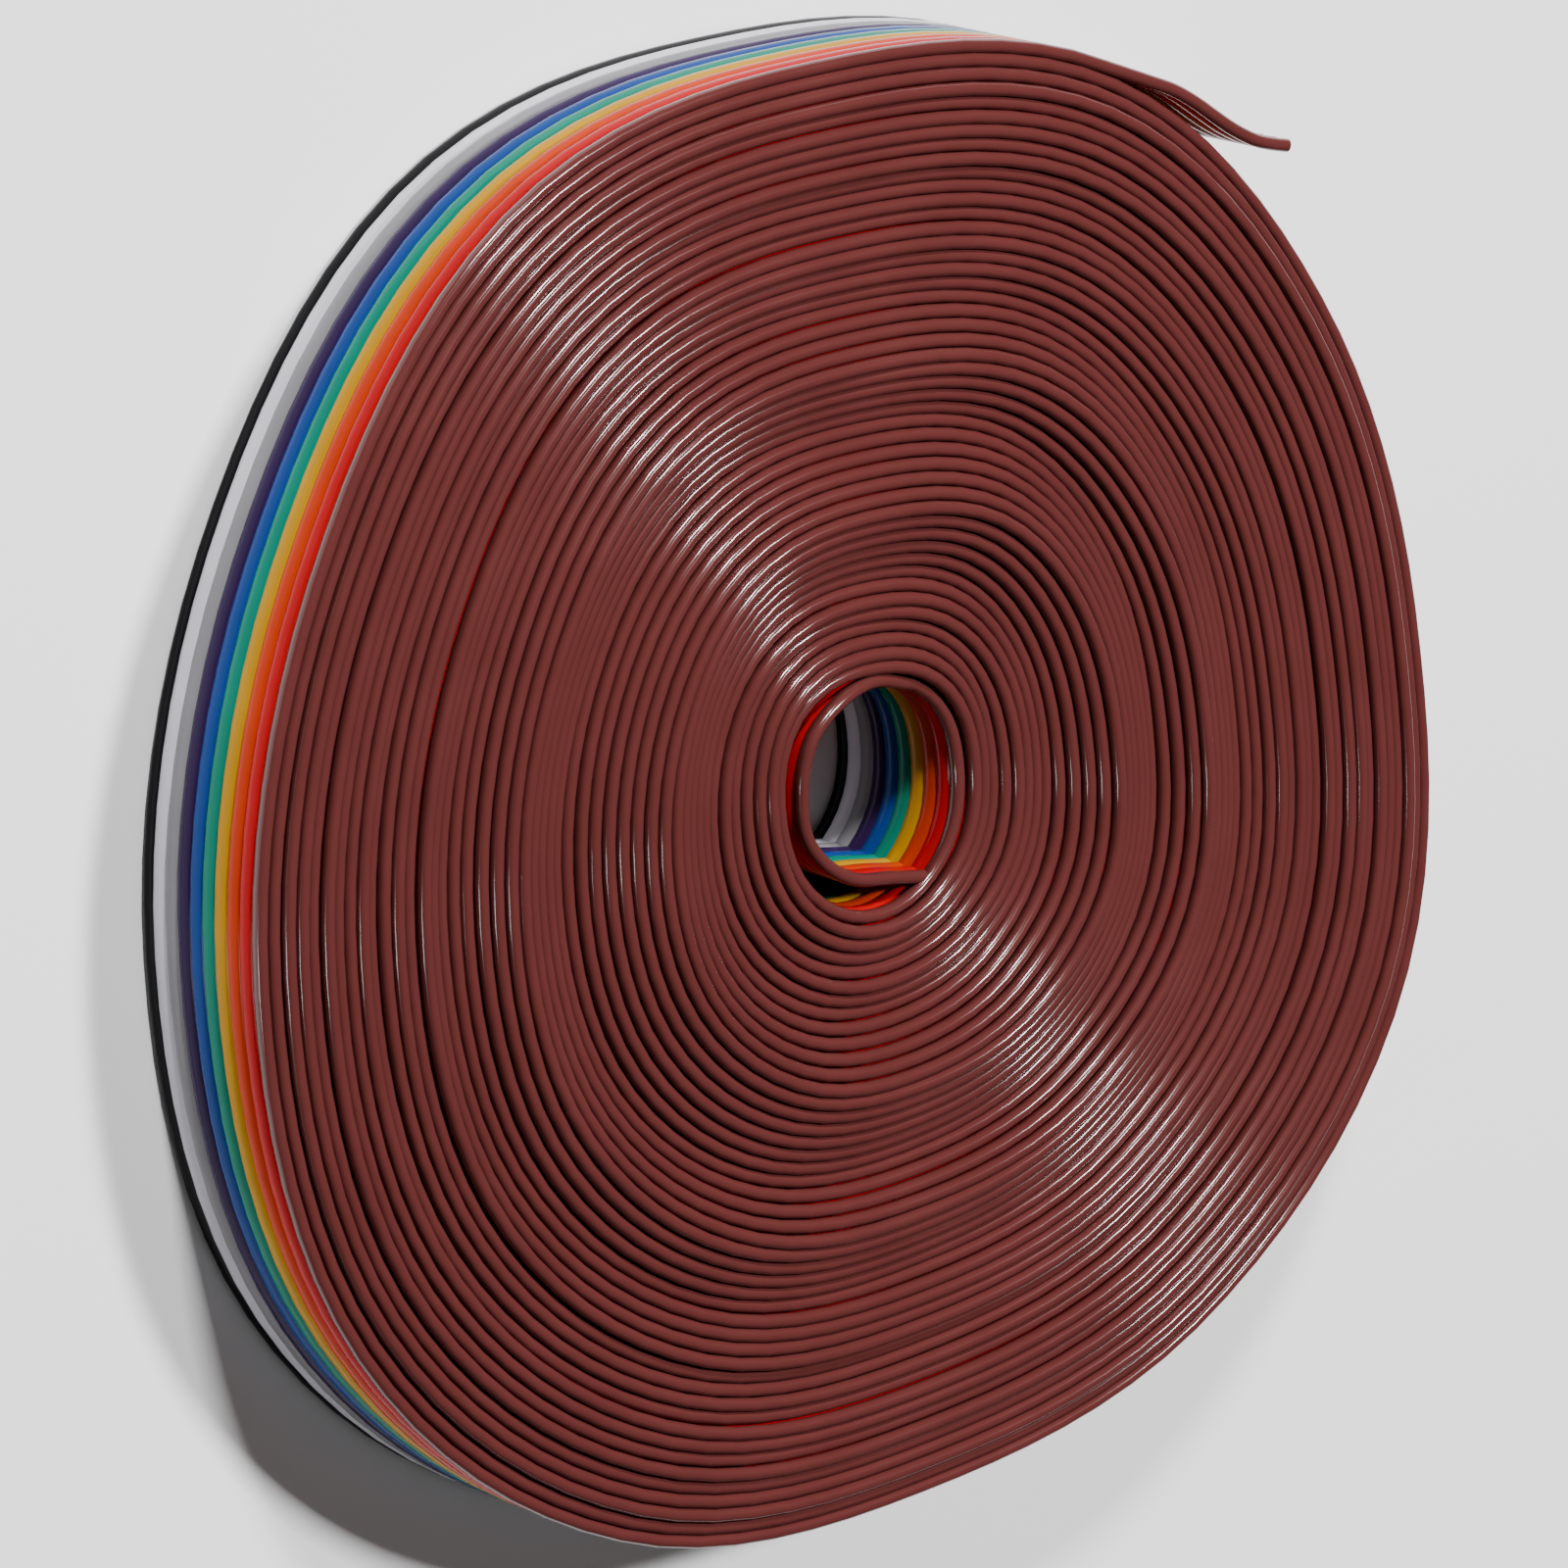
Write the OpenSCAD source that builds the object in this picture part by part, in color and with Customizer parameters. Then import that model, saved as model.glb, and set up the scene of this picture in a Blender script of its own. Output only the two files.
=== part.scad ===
// Ten way rainbow ribbon cable, wound into a flat coil that lies on its black edge.
// Ten insulated wires are bonded side by side, and the ribbon is wound as one spiral.
// The roll is a spiral of half circles, whose centre moves by half the turn spacing.

/* [Ribbon] */
// Distance between neighbouring wires
wire_pitch = 1.27; // [1:0.01:1.6]
// Thickness of the ribbon, which is the diameter of one wire
cable_t = 0.85; // [0.7:0.01:0.95]
// Width of the flat bond between two wires
bond_w = 0.4; // [0.2:0.01:0.55]

/* [Conductor] */
// Diameter of one copper strand
strand_d = 0.127; // [0.08:0.001:0.15]
// How far neighbouring strands are pressed into each other
strand_press = 0.002; // [0.001:0.001:0.01]
// Air between the strands and the bore of the insulation
bore_gap = 0.01; // [0.005:0.001:0.02]
// Length of conductor modelled in from each cut end
core_len = 1.2; // [0.5:0.1:1.4]
// How far the strands stand out of the cut insulation
core_proud = 0.1; // [0.05:0.05:1]

/* [Coil] */
// Radius of the first tight turn, to the middle of the ribbon
first_turn_r = 7.4; // [6:0.1:12]
// Gap between two turns where the wires are thickest
turn_gap = 0.05; // [0.03:0.01:0.3]
// Number of tight turns
turns = 46; // [5:1:60]
// Direction in which the outer end leaves the coil
leave_angle = 62; // [0:1:359]

/* [Hidden] */
$fn = 96;

// The wires in their order, from the floor up
WIRES = [
  "black", "white", "grey", "violet", "blue", "green", "yellow", "orange", "red", "brown"
];
LOWEST = WIRES[0];
HIGHEST = WIRES[len(WIRES) - 1];

// A wire's sides are arcs that swell from the bond to the full thickness
half_t = cable_t / 2;
half_pitch = wire_pitch / 2;
turn_pitch = cable_t + turn_gap;
swell = half_t - bond_w / 2;
side_r = (swell * swell + half_pitch * half_pitch) / (2 * swell);

// The loose ends start inside the roll and are slightly slimmer, so that they join it
sunk = 0.2;
slimmer = 0.01;
// The outer end: distance along the way it leaves, and distance outwards
outer_route = [
  [-sunk, 0], [2, -0.05], [4, -0.1], [6, -0.15], [8, -0.45], [10, -0.9],
  [12, -1.3], [14, -1.45], [15.5, -1.3], [17, -1.0]
];
// The inner end: angles on from the last tight turn, and how far it drops inwards there
inner_angles = [
  -1.5, 12, 24, 36, 48, 60, 72, 84, 96, 108, 120, 132, 144, 156, 168, 180, 192, 203, 214, 224, 232
];
inner_drops = [
  0, 0.06, 0.2, 0.38, 0.55, 0.67, 0.74, 0.76, 0.76, 0.76, 0.78, 0.84, 0.96, 1.12,
  1.3, 1.48, 1.6, 1.55, 1.3, 0.8, 0.2
];

// The rounding of an edge wire between two turns, as height and width of each step
edge_steps = [[0.35, 1], [0.75, 0.7], [1, 0.35]];
// The round edge of an edge wire where it shows
edge_r = 0.6 * cable_t;

strand_ring = 6;
strand_pitch = strand_d - strand_press;
core_r = strand_pitch + strand_d / 2;
bore_r = core_r + bore_gap;

function wire_z(wire) =
  half_t + wire_pitch * [for (k = [0 : len(WIRES) - 1]) if (WIRES[k] == wire) k][0];

function turn_r(k) = first_turn_r + k * turn_pitch;

function outer_points() = [for (q = outer_route) [turn_r(turns) + q.y, -q.x]];

function inner_points() = [
  for (k = [0 : len(inner_angles) - 1])
    (first_turn_r - inner_drops[k]) * [cos(inner_angles[k]), sin(inner_angles[k])]
];

// Outline of one wire's section as a polygon, right side first, for the loose ends
function side_x(z) = sqrt(side_r * side_r - z * z) - side_r + half_t - slimmer;

function right_side(wire) = [
  if (wire == LOWEST) for (a = [-67.5, -22.5]) (half_t - slimmer) * [cos(a), sin(a)],
  if (wire != LOWEST) for (s = [-1, -0.35]) [side_x(s * half_pitch), s * half_pitch],
  if (wire != HIGHEST) for (s = [0.35, 1]) [side_x(s * half_pitch), s * half_pitch],
  if (wire == HIGHEST) for (a = [22.5, 67.5]) (half_t - slimmer) * [cos(a), sin(a)]
];

function outline(wire) =
  concat(right_side(wire), [for (k = [3 : -1 : 0]) let (q = right_side(wire)[k]) [-q.x, q.y]]);

// Direction of a route at its point k
function heading(route, k) =
  let (d = route[min(k + 1, len(route) - 1)] - route[max(k - 1, 0)]) d / norm(d);

// Sweeps a wire's outline along a route that lies flat
module loose_end(route, wire) {
  ring = outline(wire);
  n = len(ring);
  last = len(route) - 1;
  points = [
    for (k = [0 : last]) let (d = heading(route, k)) for (q = ring)
      [route[k].x - q.x * d.y, route[k].y + q.x * d.x, q.y]
  ];
  walls = [
    for (k = [0 : last - 1]) for (j = [0 : n - 1])
      let (a = k * n + j, b = k * n + (j + 1) % n)
        each [[a, b + n, b], [a, a + n, b + n]]
  ];
  cut = [for (j = [0 : n - 1]) last * n + j];
  start = [for (j = [n - 1 : -1 : 0]) j];
  polyhedron(points, concat(walls, [start], [cut]));
}

// Places a shape that lies along +Z at the cut end of a route, pointing out of the cut
module at_cut(route) {
  last = len(route) - 1;
  d = heading(route, last);
  translate([route[last].x, route[last].y, 0])
    rotate([0, 0, atan2(d.y, d.x)])
      rotate([0, 90, 0])
        children();
}

// Section of a wire that can be seen: swollen sides, flat bonds, and a round free edge
module wire_section(wire) {
  intersection() {
    translate([side_r - half_t, 0]) circle(r = side_r);
    translate([half_t - side_r, 0]) circle(r = side_r);
    if (wire == HIGHEST) translate([0, half_t - edge_r]) circle(r = edge_r);
    if (wire == LOWEST) translate([0, edge_r - half_t]) circle(r = edge_r);
    translate([-cable_t, -half_pitch]) square([2 * cable_t, wire_pitch]);
  }
}

module lower_half() translate([-turn_pitch / 2, 0, 0]) rotate([0, 0, 180]) children();

module half_ring(r) rotate_extrude(angle = 180) translate([r, 0]) children();

module half_band(r, w) {
  intersection() {
    difference() {
      circle(r = r + w / 2);
      circle(r = r - w / 2);
    }
    translate([-2 * r, 0]) square([4 * r, 2 * r]);
  }
}

// The turns between the first and the last, as a band of width w from z up to z + h
module band(w, z, h) {
  translate([0, 0, z])
    linear_extrude(height = h)
      for (k = [1 : turns - 1]) {
        half_band(turn_r(k), w);
        lower_half() half_band(turn_r(k) + turn_pitch / 2, w);
      }
}

// The free edge of an edge wire, rounded off in steps. side is 1 at the top and -1 below
module edge_rounding(side) {
  for (k = [0 : len(edge_steps) - 2]) {
    low = half_t * edge_steps[k].x;
    high = half_t * edge_steps[k + 1].x;
    band(cable_t * edge_steps[k + 1].y, side > 0 ? low : -high, high - low);
  }
}

// The tight turns of one wire. Only the first and the last show their swollen sides
module roll(wire) {
  low = wire == LOWEST ? half_t * edge_steps[0].x : half_pitch;
  high = wire == HIGHEST ? half_t * edge_steps[0].x : half_pitch;
  band(cable_t, -low, low + high);
  if (wire == HIGHEST) edge_rounding(1);
  if (wire == LOWEST) edge_rounding(-1);
  lower_half() half_ring(turn_r(0) + turn_pitch / 2) wire_section(wire);
  half_ring(turn_r(turns)) wire_section(wire);
}

module bore() translate([0, 0, -core_len]) cylinder(r = bore_r, h = 2 * core_len);

module insulation(wire) {
  rotate([0, 0, leave_angle]) translate([0, 0, wire_z(wire)]) {
    roll(wire);
    for (route = [outer_points(), inner_points()])
      difference() {
        loose_end(route, wire);
        at_cut(route) bore();
      }
  }
}

// The copper strands, one in the middle and a ring of six, at both cut ends
module conductor(wire) {
  rotate([0, 0, leave_angle]) translate([0, 0, wire_z(wire)])
    for (route = [outer_points(), inner_points()])
      at_cut(route)
        translate([0, 0, -core_len])
          linear_extrude(height = core_len + core_proud) {
            circle(d = strand_d, $fn = 24);
            for (k = [1 : strand_ring])
              rotate(k * 360 / strand_ring) translate([strand_pitch, 0]) circle(d = strand_d, $fn = 24);
          }
}

module brown_insulation() color("#7c3c39") insulation("brown");

module red_insulation() color("#c8252b") insulation("red");

module orange_insulation() color("#d9552a") insulation("orange");

module yellow_insulation() color("#c8a020") insulation("yellow");

module green_insulation() color("#17a58c") insulation("green");

module blue_insulation() color("#2a62b8") insulation("blue");

module violet_insulation() color("#4a3f63") insulation("violet");

module grey_insulation() color("#9a989c") insulation("grey");

module white_insulation() color("#d8d8e0") insulation("white");

module black_insulation() color("#2a2a2c") insulation("black");

module brown_conductor() color("#c9b49b") conductor("brown");

module red_conductor() color("#c9b49b") conductor("red");

module orange_conductor() color("#c9b49b") conductor("orange");

module yellow_conductor() color("#c9b49b") conductor("yellow");

module green_conductor() color("#c9b49b") conductor("green");

module blue_conductor() color("#c9b49b") conductor("blue");

module violet_conductor() color("#c9b49b") conductor("violet");

module grey_conductor() color("#c9b49b") conductor("grey");

module white_conductor() color("#c9b49b") conductor("white");

module black_conductor() color("#c9b49b") conductor("black");

brown_insulation();
red_insulation();
orange_insulation();
yellow_insulation();
green_insulation();
blue_insulation();
violet_insulation();
grey_insulation();
white_insulation();
black_insulation();
brown_conductor();
red_conductor();
orange_conductor();
yellow_conductor();
green_conductor();
blue_conductor();
violet_conductor();
grey_conductor();
white_conductor();
black_conductor();
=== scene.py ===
"""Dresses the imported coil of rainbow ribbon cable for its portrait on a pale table."""

import math

import bmesh
import bpy
import numpy as np
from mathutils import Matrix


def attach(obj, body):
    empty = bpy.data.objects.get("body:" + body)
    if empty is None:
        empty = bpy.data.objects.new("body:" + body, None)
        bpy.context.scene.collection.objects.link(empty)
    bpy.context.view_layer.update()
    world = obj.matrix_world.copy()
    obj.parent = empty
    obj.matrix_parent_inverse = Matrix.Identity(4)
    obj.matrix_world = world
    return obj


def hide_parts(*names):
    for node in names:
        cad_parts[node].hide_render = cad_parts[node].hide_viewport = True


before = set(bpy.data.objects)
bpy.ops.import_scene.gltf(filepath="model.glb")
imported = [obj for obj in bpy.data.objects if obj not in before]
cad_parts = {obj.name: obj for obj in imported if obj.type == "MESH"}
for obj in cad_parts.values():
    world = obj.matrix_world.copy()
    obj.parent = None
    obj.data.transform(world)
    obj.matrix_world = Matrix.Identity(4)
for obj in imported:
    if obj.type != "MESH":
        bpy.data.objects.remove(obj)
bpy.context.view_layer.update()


# Camera. A long lens looks down on the coil from its outer left side. It is rolled so that
# the free end of the ribbon is at the top right of the picture.
lens = bpy.data.cameras.new("portrait_lens")
lens.lens = 215.5
lens.sensor_width = 36
lens.clip_start = 0.05
lens.clip_end = 5
camera = bpy.data.objects.new("portrait_camera", lens)
camera.location = (-0.35655, 0.18120, 0.45416)
camera.rotation_euler = [math.radians(a) for a in (-14.283, -39.433, -5.305)]
bpy.context.scene.collection.objects.link(camera)
bpy.context.scene.camera = camera


# Ribbon. Ten stranded wires lie side by side, bonded by their own soft vinyl. It starts as
# a loose turn in the hub, is wound tightly outwards, and springs free at its cut end.
# Its sizes are in millimetres.
MM = 0.001
WIRE_PITCH = 1.27
CABLE_T = 0.85
BOND_W = 0.4
FIRST_TURN_R = 7.4
TURN_PITCH = 0.9
TURNS = 46
LEAVE_ANGLE = 62
# The free end: distance along the way it leaves, and distance outwards
OUTER_ROUTE = [
    (0, 0), (2, -0.05), (4, -0.1), (6, -0.15), (8, -0.45), (10, -0.9),
    (12, -1.3), (14, -1.45), (15.5, -1.3), (17, -1.0),
]
# The loose turn in the hub: angle on from the first tight turn, radius and rise
INNER_ROUTE = [
    (0, 6.99, 0), (13, 6.97, 0.2), (30, 7.4, 0.5), (43, 7.62, 0.75), (56, 7.8, 0.95),
    (77, 7.95, 1.0), (90, 7.6, 0.85), (99, 7.35, 0.75), (109, 7.1, 0.65), (120, 7.0, 0.6),
    (132, 6.85, 0.55), (146, 6.5, 0.45), (163, 6.15, 0.3), (180, 5.95, 0.15), (192, 5.85, 0.05),
    (203, 5.85, 0), (214, 6.1, 0), (224, 6.6, 0), (232, 7.2, 0),
]
# The turns have slipped past each other, so that their edges lie in crests and troughs.
# Each has a height, and its radius in four directions, 90 degrees apart
SLIPPED = [
    (0.2, [6.0, 6.0, 6.0, 6.0]),
    (1.0, [8.0, 8.3, 8.6, 8.3]),
    (0.1, [10.2, 11.2, 12.4, 11.3]),
    (0.7, [12.1, 12.6, 13.2, 12.7]),
    (0.1, [15.0, 14.4, 13.8, 14.6]),
    (2.4, [19.5, 19.0, 18.5, 19.4]),
    (0.1, [24.0, 25.0, 26.0, 25.0]),
    (1.9, [27.5, 28.9, 30.3, 28.7]),
    (0.2, [31.2, 33.0, 34.6, 32.6]),
    (0.9, [35.0, 36.1, 37.2, 35.7]),
    (0.3, [38.3, 39.2, 40.2, 38.9]),
    (0.7, [41.3, 42.0, 42.6, 41.8]),
    (0.3, [50.0, 50.0, 50.0, 50.0]),
]
# Besides, every second or third turn stands up a little from its neighbours, most of all
# from a radius of 31 to 37 outwards
SWING = 0.22
SWINGS_PER_TURN = 0.37
SWING_STEEPNESS = 2
SWING_IN_HUB = 0.12
SWING_GROWS_FROM = 31
SWING_GROWS_OVER = 6
# The first and the last turns settle to the height of the two cut ends, on the table
FIRST_TURNS_SETTLE = 1.5
LAST_TURNS_SETTLE = 3.5
# How far the coil is out of round, at even steps round it: the first and the last turn
HUB_SHIFT = [-1.3, -0.6, 0.0, 1.2, 0.35, 0.1, -0.2, -0.9]
RIM_SHIFT = [-2.1, -2.3, -0.7, -1.5, 1.2, -0.1, 0.3, 2.1, 1.2, -1.4, 0.6, 1.5]
# The free end loses its share of that over this distance
RIM_SHIFT_FADES_OVER = 13
RIM_SHIFT_FADE_POWER = 1.5
# How finely the line is drawn: points between two of a route, and points per turn, which
# grow with the root of the turn's radius
STEPS_IN_ROUTE = 3
POINTS_PER_TURN = 14
LAST_STEP = 1e-6


def round_the_coil(values, angle):
    """A value on a smooth curve through those given at even steps round the coil."""
    at = (angle % 360) / 360 * len(values)
    k, t = int(at), at - int(at)
    a, b, c, d = (values[(k + j) % len(values)] for j in (-1, 0, 1, 2))
    return b + 0.5 * t * (c - a + t * (2 * a - 5 * b + 4 * c - d + t * (3 * (b - c) + d - a)))


def ramp(value):
    """A value held between 0 and 1."""
    return min(1, max(0, value))


def slip(radius, angle, turn):
    """How far the ribbon has slipped upwards from the table."""
    radii = [round_the_coil(r, angle) for _, r in SLIPPED]
    height = float(np.interp(radius, radii, [h for h, _ in SLIPPED]))
    wave = math.cos(2 * math.pi * SWINGS_PER_TURN * turn)
    swing = SWING * math.tanh(SWING_STEEPNESS * wave)
    share = max(SWING_IN_HUB, ramp((radius - SWING_GROWS_FROM) / SWING_GROWS_OVER))
    settled = ramp((TURNS - turn) / LAST_TURNS_SETTLE) * ramp(turn / FIRST_TURNS_SETTLE)
    return max(0, height + share * swing) * settled * settled * (3 - 2 * settled)


def out_of_round(angle, turn):
    """How far a turn lies outside its place on a round coil."""
    hub, rim = round_the_coil(HUB_SHIFT, angle), round_the_coil(RIM_SHIFT, angle)
    return hub * (1 - turn / TURNS) + rim * (turn / TURNS)


def wound_point(turn):
    """A point of the ribbon's middle on the tight turns, counted from the first.

    The spiral is made of half circles, whose centre moves by half the turn spacing.
    """
    angle = -360 * turn
    lap, part = divmod(turn, 1)
    lower = part < 0.5
    radius = FIRST_TURN_R + (lap + (0.5 if lower else 1)) * TURN_PITCH
    x = radius * math.cos(math.radians(angle)) - (TURN_PITCH / 2 if lower else 0)
    y = radius * math.sin(math.radians(angle))
    placed = angle + LEAVE_ANGLE
    out = math.hypot(x, y)
    stretch = (out + out_of_round(placed, turn)) / out
    return x * stretch, y * stretch, slip(out, placed, turn)


def smooth_route(route, steps):
    """More points on a smooth line through the given ones."""
    ends = [2 * np.array(route[0]) - route[1], 2 * np.array(route[-1]) - route[-2]]
    p = [ends[0], *map(np.array, route), ends[1]]
    found = []
    for k in range(1, len(p) - 2):
        for t in np.arange(steps) / steps:
            found.append(
                p[k]
                + 0.5 * t * (p[k + 1] - p[k - 1])
                + t * t * (p[k - 1] - 2.5 * p[k] + 2 * p[k + 1] - 0.5 * p[k + 2])
                + 0.5 * t ** 3 * (p[k + 2] - p[k - 1] + 3 * (p[k] - p[k + 1]))
            )
    return [*found, p[-2]]


def ribbon_line():
    """The middle of the ribbon from its inner to its outer cut end, with its slip."""
    points = []
    for angle, r, rise in reversed(smooth_route(INNER_ROUTE, STEPS_IN_ROUTE)):
        a = math.radians(angle)
        points.append((r * math.cos(a), r * math.sin(a), rise))
    turn = 0.0
    while turn < TURNS - LAST_STEP:
        radius = FIRST_TURN_R + turn * TURN_PITCH
        turn = min(TURNS, turn + 1 / (POINTS_PER_TURN * math.sqrt(radius)))
        points.append(wound_point(turn))
    for along, out in smooth_route(OUTER_ROUTE, STEPS_IN_ROUTE)[1:]:
        fade = max(0, 1 - along / RIM_SHIFT_FADES_OVER) ** RIM_SHIFT_FADE_POWER
        out += out_of_round(LEAVE_ANGLE, TURNS) * fade
        points.append((FIRST_TURN_R + TURNS * TURN_PITCH + out, -along, 0))
    c, s = math.cos(math.radians(LEAVE_ANGLE)), math.sin(math.radians(LEAVE_ANGLE))
    return [(c * x - s * y, s * x + c * y, z) for x, y, z in points]


RIBBON = ribbon_line()


def side_of_wire(z):
    """Half the thickness of a wire at a height above its middle."""
    swell, half_pitch = (CABLE_T - BOND_W) / 2, WIRE_PITCH / 2
    r = (swell * swell + half_pitch * half_pitch) / (2 * swell)
    return math.sqrt(r * r - z * z) - r + CABLE_T / 2


# A wire's swollen side has points at these shares of half its height. The free edges of the
# top and the bottom wire are round. The top wire is a little fuller, so that next to
# nothing shows between two turns
SIDE_POINTS = (-1, -0.64, -0.24)
EDGE_ANGLES = (0, 20, 40, 58, 74)
FULLER_TOP = 1.04


def wire_section(place):
    """The right half of a wire's section, from its bottom to its top."""
    half = WIRE_PITCH / 2
    below = [(side_of_wire(share * half), share * half) for share in SIDE_POINTS]
    above = [(x, -z) for x, z in reversed(below)]
    edge = [
        (CABLE_T / 2 * math.cos(a), CABLE_T / 2 * math.sin(a))
        for a in np.radians(EDGE_ANGLES)
    ]
    if place == "top":
        return [(x * FULLER_TOP, z) for x, z in [*below, *edge]]
    if place == "bottom":
        return [*[(x, -z) for x, z in reversed(edge)], *above]
    return [*below, *above]


# In metres, the distance at which points are the same one. Edges turn sharp from this angle
MERGE_DISTANCE = 1e-7
SHARP_FROM = 35


def wire_mesh(name, middle, place):
    """Sweeps a wire's section along the ribbon's line, with closed cut ends."""
    right = wire_section(place)
    outline = [*right, *[(-x, z) for x, z in reversed(right)]]
    section = bpy.data.curves.new(name + "_section", "CURVE")
    section.dimensions = "2D"
    ring = section.splines.new("POLY")
    ring.points.add(len(outline) - 1)
    for point, (x, z) in zip(ring.points, outline):
        point.co = (x * MM, z * MM, 0, 1)
    ring.use_cyclic_u = True
    section_object = bpy.data.objects.new(name + "_section", section)
    bpy.context.scene.collection.objects.link(section_object)

    line = [(x * MM, y * MM, (middle + z) * MM) for x, y, z in RIBBON]
    curve = bpy.data.curves.new(name, "CURVE")
    curve.dimensions = "3D"
    curve.twist_mode = "Z_UP"
    curve.bevel_mode = "OBJECT"
    curve.bevel_object = section_object
    curve.use_fill_caps = True
    spline = curve.splines.new("POLY")
    spline.points.add(len(line) - 1)
    for point, place_at in zip(spline.points, line):
        point.co = (*place_at, 1)
    swept = bpy.data.objects.new(name + "_swept", curve)
    bpy.context.scene.collection.objects.link(swept)
    bpy.context.view_layer.update()
    graph = bpy.context.evaluated_depsgraph_get()
    mesh = bpy.data.meshes.new_from_object(swept.evaluated_get(graph))
    mesh.name = name
    bpy.data.objects.remove(swept)
    bpy.data.objects.remove(section_object)

    # The rounded edges stay smooth, and the bonds between two wires stay sharp
    shell = bmesh.new()
    shell.from_mesh(mesh)
    bmesh.ops.remove_doubles(shell, verts=shell.verts, dist=MERGE_DISTANCE)
    bmesh.ops.recalc_face_normals(shell, faces=shell.faces)
    for face in shell.faces:
        face.smooth = True
    shell.to_mesh(mesh)
    shell.free()
    mesh.set_sharp_from_angle(angle=math.radians(SHARP_FROM))
    return mesh, line


# The vinyl's cloudy patches: their tones as shares of its colour, and how far they lie from
# its roughness
DARK_PATCH, PALE_PATCH = 0.86, 1.12
GLOSSY_PATCH, DULL_PATCH = -0.05, 0.07
# The sockets of a mix node that take and give colours
COLOUR_A, COLOUR_B, COLOUR_OUT = 6, 7, 2


def vinyl(name, colour, roughness, specular):
    """Soft glossy vinyl with faint drawing lines along the wire and cloudy patches."""
    material = bpy.data.materials.new(name)
    material.use_nodes = True
    nodes, links = material.node_tree.nodes, material.node_tree.links
    shader = nodes["Principled BSDF"]
    shader.inputs["IOR"].default_value = 1.5
    shader.inputs["Specular IOR Level"].default_value = specular
    place = nodes.new("ShaderNodeTexCoord")

    clouds = nodes.new("ShaderNodeTexNoise")
    clouds.inputs["Scale"].default_value = 160
    clouds.inputs["Detail"].default_value = 3
    links.new(place.outputs["Object"], clouds.inputs["Vector"])
    tone = nodes.new("ShaderNodeMix")
    tone.data_type = "RGBA"
    tone.inputs[COLOUR_A].default_value = (*[DARK_PATCH * c for c in colour], 1)
    tone.inputs[COLOUR_B].default_value = (*[min(1, PALE_PATCH * c) for c in colour], 1)
    links.new(clouds.outputs["Fac"], tone.inputs["Factor"])
    links.new(tone.outputs[COLOUR_OUT], shader.inputs["Base Color"])
    shine = nodes.new("ShaderNodeMapRange")
    shine.inputs["To Min"].default_value = roughness + GLOSSY_PATCH
    shine.inputs["To Max"].default_value = roughness + DULL_PATCH
    links.new(clouds.outputs["Fac"], shine.inputs["Value"])
    links.new(shine.outputs["Result"], shader.inputs["Roughness"])

    # Lines along the wire are rings about the coil's axis
    flat = nodes.new("ShaderNodeVectorMath")
    flat.operation = "MULTIPLY"
    flat.inputs[1].default_value = (1, 1, 0)
    links.new(place.outputs["Object"], flat.inputs[0])
    radius = nodes.new("ShaderNodeVectorMath")
    radius.operation = "LENGTH"
    links.new(flat.outputs["Vector"], radius.inputs[0])
    split = nodes.new("ShaderNodeSeparateXYZ")
    links.new(place.outputs["Object"], split.inputs["Vector"])
    across = nodes.new("ShaderNodeCombineXYZ")
    links.new(radius.outputs["Value"], across.inputs["X"])
    links.new(split.outputs["Z"], across.inputs["Y"])
    drawn = nodes.new("ShaderNodeTexNoise")
    drawn.inputs["Scale"].default_value = 9000
    drawn.inputs["Detail"].default_value = 2
    links.new(across.outputs["Vector"], drawn.inputs["Vector"])
    bump = nodes.new("ShaderNodeBump")
    bump.inputs["Strength"].default_value = 0.12
    bump.inputs["Distance"].default_value = 0.00002
    links.new(drawn.outputs["Fac"], bump.inputs["Height"])
    links.new(bump.outputs["Normal"], shader.inputs["Normal"])
    return material


# The wires from the table up: name, colour, roughness and specular level. The brown edges
# mirror the softboxes, and the sides would mirror little but the table, so they shine less
WIRES = [
    ("black", (0.006, 0.006, 0.007), 0.15, 0.08),
    ("white", (0.50, 0.49, 0.54), 0.17, 0.08),
    ("grey", (0.175, 0.17, 0.183), 0.17, 0.08),
    ("violet", (0.018, 0.007, 0.040), 0.15, 0.08),
    ("blue", (0.004, 0.034, 0.168), 0.15, 0.08),
    ("green", (0.0, 0.142, 0.095), 0.15, 0.08),
    ("yellow", (0.36, 0.175, 0.0), 0.16, 0.08),
    ("orange", (0.37, 0.021, 0.0), 0.16, 0.08),
    ("red", (0.32, 0.0, 0.003), 0.15, 0.08),
    ("brown", (0.077, 0.0172, 0.0162), 0.14, 0.38),
]
for count, (colour_name, colour, roughness, specular) in enumerate(WIRES):
    place = {0: "bottom", len(WIRES) - 1: "top"}.get(count, "middle")
    middle = CABLE_T / 2 + count * WIRE_PITCH
    mesh, line = wire_mesh(colour_name + "_wire", middle, place)
    mesh.materials.clear()
    mesh.materials.append(vinyl(colour_name + "_vinyl", colour, roughness, specular))
    wire = bpy.data.objects.new(colour_name + "_wire", mesh)
    bpy.context.scene.collection.objects.link(wire)
    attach(wire, "root")
    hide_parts(colour_name + "_insulation")


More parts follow.
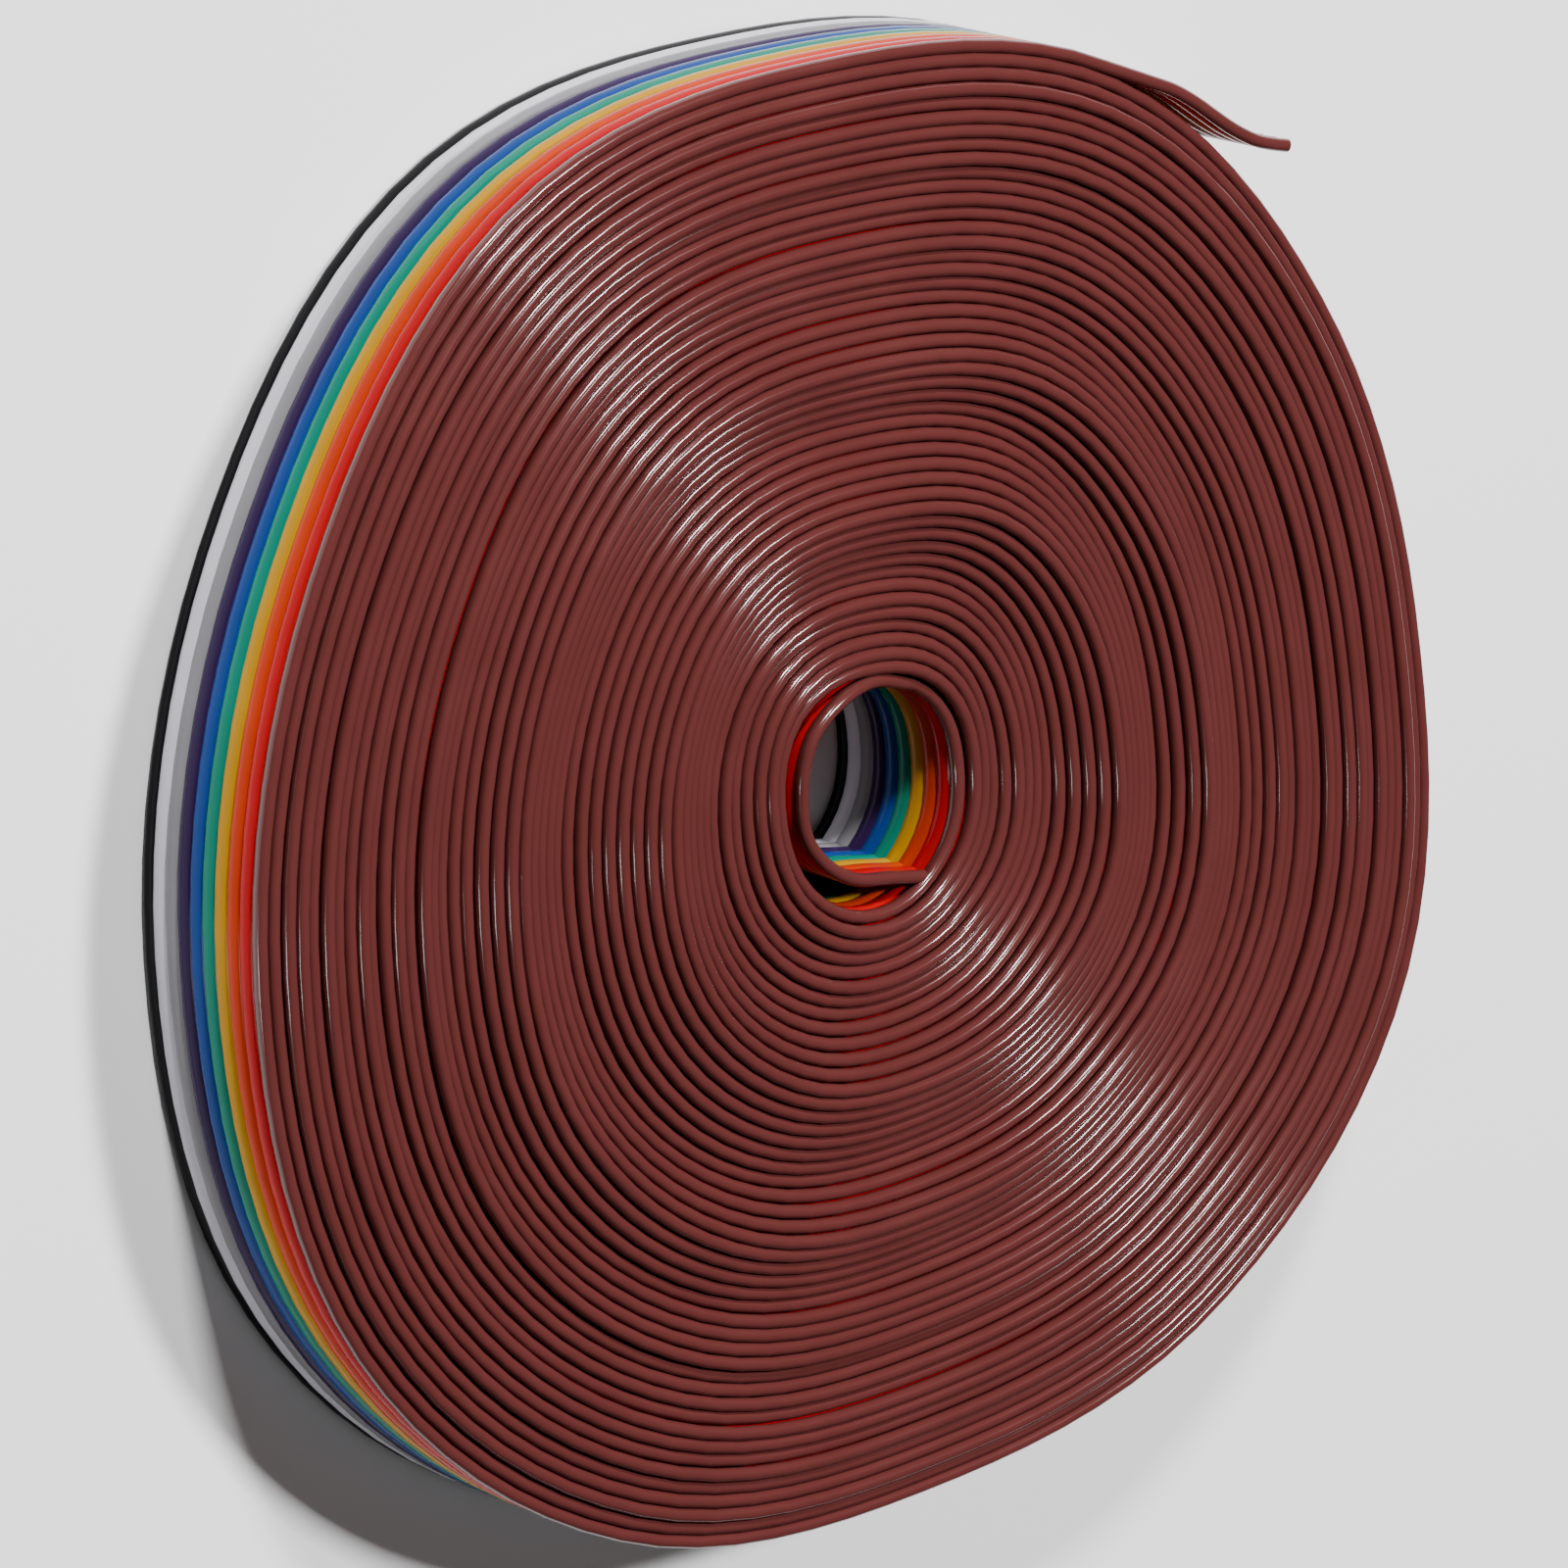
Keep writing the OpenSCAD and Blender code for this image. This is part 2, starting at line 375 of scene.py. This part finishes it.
# Conductors. Seven thin copper strands, tinned, stand just proud of each cut end. The blade
# has left them bright, with fine marks across them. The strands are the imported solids.
def tinned_copper():
    """Bright tinned copper with fine marks of the blade."""
    material = bpy.data.materials.new("tinned_copper")
    material.use_nodes = True
    nodes, links = material.node_tree.nodes, material.node_tree.links
    shader = nodes["Principled BSDF"]
    shader.inputs["Metallic"].default_value = 1
    place = nodes.new("ShaderNodeTexCoord")
    marks = nodes.new("ShaderNodeTexNoise")
    marks.inputs["Scale"].default_value = 14000
    marks.inputs["Detail"].default_value = 3
    links.new(place.outputs["Object"], marks.inputs["Vector"])
    tint = nodes.new("ShaderNodeMix")
    tint.data_type = "RGBA"
    tint.inputs[COLOUR_A].default_value = (0.62, 0.47, 0.36, 1)
    tint.inputs[COLOUR_B].default_value = (0.80, 0.74, 0.68, 1)
    links.new(marks.outputs["Fac"], tint.inputs["Factor"])
    links.new(tint.outputs[COLOUR_OUT], shader.inputs["Base Color"])
    wear = nodes.new("ShaderNodeMapRange")
    wear.inputs["To Min"].default_value = 0.22
    wear.inputs["To Max"].default_value = 0.42
    links.new(marks.outputs["Fac"], wear.inputs["Value"])
    links.new(wear.outputs["Result"], shader.inputs["Roughness"])
    return material


strand_finish = tinned_copper()
for colour_name, _, _, _ in WIRES:
    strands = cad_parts[colour_name + "_conductor"]
    strands.data.materials.clear()
    strands.data.materials.append(strand_finish)


# Table and light. A plain pale table and three studio softboxes. The one overhead mirrors
# in the turns from the upper left to the lower right, the top one rakes over their edges,
# and the low one at the left lights the coloured side.
TABLE_HALF_WIDTH = 1.5
table = bmesh.new()
bmesh.ops.create_grid(table, x_segments=1, y_segments=1, size=TABLE_HALF_WIDTH)
table_mesh = bpy.data.meshes.new("table")
table.to_mesh(table_mesh)
table.free()
table_finish = bpy.data.materials.new("pale_table")
table_finish.use_nodes = True
table_nodes = table_finish.node_tree.nodes
table_nodes["Principled BSDF"].inputs["Base Color"].default_value = (0.9, 0.9, 0.9, 1)
table_nodes["Principled BSDF"].inputs["Roughness"].default_value = 0.8
table_mesh.materials.append(table_finish)
table_object = bpy.data.objects.new("table", table_mesh)
bpy.context.scene.collection.objects.link(table_object)

# Each softbox has a place, a width and a power in watts
SOFTBOXES = [
    ("top_box", (-0.12, 0.80, 0.60), 0.11, 14),
    ("over_box", (0.30, 0.32, 0.90), 0.13, 16),
    ("left_box", (-0.85, -0.20, 0.16), 0.12, 1.3),
]
for box_name, at, width, watts in SOFTBOXES:
    light = bpy.data.lights.new(box_name, "AREA")
    light.shape = "SQUARE"
    light.size = width
    light.energy = watts
    lamp = bpy.data.objects.new(box_name, light)
    lamp.location = at
    lamp.rotation_euler = (-lamp.location).to_track_quat("-Z", "Y").to_euler()
    bpy.context.scene.collection.objects.link(lamp)

sky = bpy.data.worlds.new("studio")
sky.use_nodes = True
sky.node_tree.nodes["Background"].inputs["Color"].default_value = (1, 1, 1, 1)
sky.node_tree.nodes["Background"].inputs["Strength"].default_value = 0.07
bpy.context.scene.world = sky
